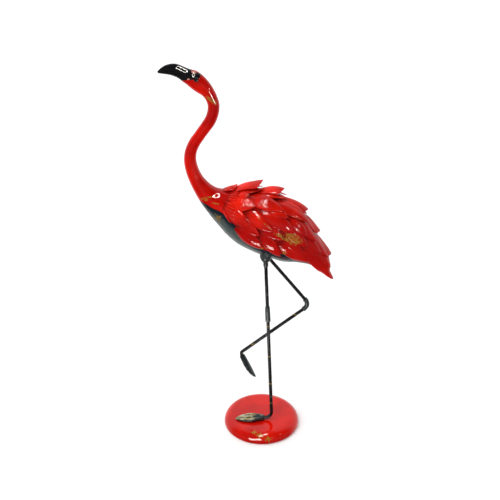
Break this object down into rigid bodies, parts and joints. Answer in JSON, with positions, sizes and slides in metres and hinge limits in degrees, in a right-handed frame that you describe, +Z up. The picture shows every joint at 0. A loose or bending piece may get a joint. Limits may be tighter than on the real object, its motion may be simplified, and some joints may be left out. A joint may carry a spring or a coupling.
{
  "type": "flamingo sculpture",
  "caption": "Tall lacquered metal flamingo standing on one rod leg, the other folded, with leaf-shaped feathers, on a domed round base.",
  "frame": {"origin": "centre of the base's flat underside", "axes": "+Z up, the bird looks along -X, its left side and standing leg are towards -Y"},
  "size_m": [0.2769, 0.135, 0.6482],
  "materials": {
    "red_lacquer": "high-gloss red lacquer with leaf-gold splashes, a black beak and a slate-blue breast",
    "black_rod": "satin black paint on steel rod, worn to gold-brown specks",
    "slate_sleeve": "satin slate-grey paint",
    "worn_foot": "dark paint with ridges rubbed to gold"
  },
  "bodies": {
    "root": {"base": "red_lacquer", "bird": "red_lacquer", "standing_thigh_rod": "black_rod", "standing_knee_sleeve": "slate_sleeve", "standing_shin_rod": "black_rod", "standing_foot": "worn_foot", "raised_thigh_rod": "black_rod", "raised_knee_sleeve": "slate_sleeve", "raised_shin_rod": "black_rod", "raised_foot": "worn_foot"}
  },
  "joints": []
}
